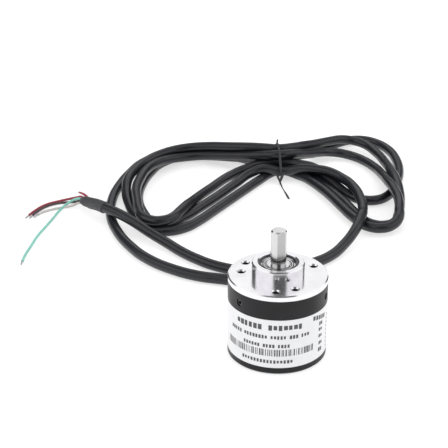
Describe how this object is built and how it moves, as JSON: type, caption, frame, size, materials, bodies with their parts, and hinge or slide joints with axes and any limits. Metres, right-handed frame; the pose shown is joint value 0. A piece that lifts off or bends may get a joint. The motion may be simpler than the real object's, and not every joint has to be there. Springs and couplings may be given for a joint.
{
  "type": "rotary encoder",
  "caption": "Incremental rotary encoder: D-cut shaft on two ball bearings in a round metal flange and black cover, with a slotted code disc inside and a tied signal cable ending in bare leads.",
  "frame": {"origin": "middle of the flat base, on the shaft axis", "axes": "+Z along the shaft axis, out of the shaft end; +Y towards the cable outlet; +X completes a right-handed frame"},
  "size_m": [0.1816, 0.241, 0.051],
  "materials": {
    "machined_aluminium": "satin",
    "cover_black": "satin",
    "label_film": "satin",
    "blackened_steel": "satin",
    "bearing_steel": "gloss",
    "ball_steel": "gloss",
    "shield_steel": "satin",
    "cage_brass": "satin",
    "ground_steel": "gloss",
    "hub_aluminium": "satin",
    "disc_metal": "satin",
    "board_green": "satin",
    "screw_steel": "satin",
    "moulded_black": "matte",
    "lamp_clear": "gloss",
    "sensor_dark": "gloss",
    "capacitor_tan": "satin",
    "connector_white": "satin",
    "core_insulation": "satin",
    "grommet_rubber": "matte",
    "jacket_black": "satin",
    "tie_black": "satin",
    "sleeve_grey": "satin",
    "lead_red": "satin",
    "lead_black": "satin",
    "lead_white": "satin",
    "lead_green": "satin"
  },
  "bodies": {
    "housing": {"front_flange": "machined_aluminium", "housing_cover": "cover_black", "label": "label_film", "cover_screws": "blackened_steel", "bearing_retainer": "blackened_steel", "wave_washer": "shield_steel", "front_outer_ring": "bearing_steel", "front_shields": "shield_steel", "rear_outer_ring": "bearing_steel", "rear_shields": "shield_steel", "optics_block": "moulded_black", "led_emitter": "lamp_clear", "reticle_mask": "hub_aluminium", "photo_sensor": "sensor_dark", "circuit_board": "board_green", "board_standoffs": "cage_brass", "board_screws": "screw_steel", "signal_chip": "moulded_black", "driver_chip": "moulded_black", "capacitors": "capacitor_tan", "resistors": "moulded_black", "wire_connector": "connector_white", "inner_leads": "core_insulation", "cable_grommet": "grommet_rubber", "cable_lead": "jacket_black", "cable_hank": "jacket_black", "cable_tail": "jacket_black", "twist_tie": "tie_black", "heat_shrink_sleeve": "sleeve_grey", "lead_red": "lead_red", "lead_black": "lead_black", "lead_white": "lead_white", "lead_green": "lead_green", "lead_stub": "lead_red"},
    "rotor": {"front_inner_ring": "bearing_steel", "rear_inner_ring": "bearing_steel", "bearing_spacer": "bearing_steel", "shaft": "ground_steel", "shaft_circlip": "blackened_steel", "disc_hub": "hub_aluminium", "hub_set_screw": "blackened_steel", "code_disc": "disc_metal", "disc_clamp_ring": "hub_aluminium", "disc_screws": "blackened_steel"},
    "front_ball_set": {"front_balls": "ball_steel", "front_cage": "cage_brass"},
    "rear_ball_set": {"rear_balls": "ball_steel", "rear_cage": "cage_brass"}
  },
  "joints": [
    {"name": "shaft_spin", "type": "hinge", "parent": "housing", "child": "rotor", "pos_m": [0, 0, 0.033], "axis": [0, 0, 1], "continuous": true},
    {"name": "front_cage_orbit", "type": "hinge", "parent": "housing", "child": "front_ball_set", "pos_m": [0, 0, 0.0345], "axis": [0, 0, 1], "continuous": true},
    {"name": "rear_cage_orbit", "type": "hinge", "parent": "housing", "child": "rear_ball_set", "pos_m": [0, 0, 0.0227], "axis": [0, 0, 1], "continuous": true}
  ],
  "couplings": [
    {"joint": "front_cage_orbit", "follows": "shaft_spin", "ratio": 0.38667},
    {"joint": "rear_cage_orbit", "follows": "shaft_spin", "ratio": 0.38667}
  ]
}
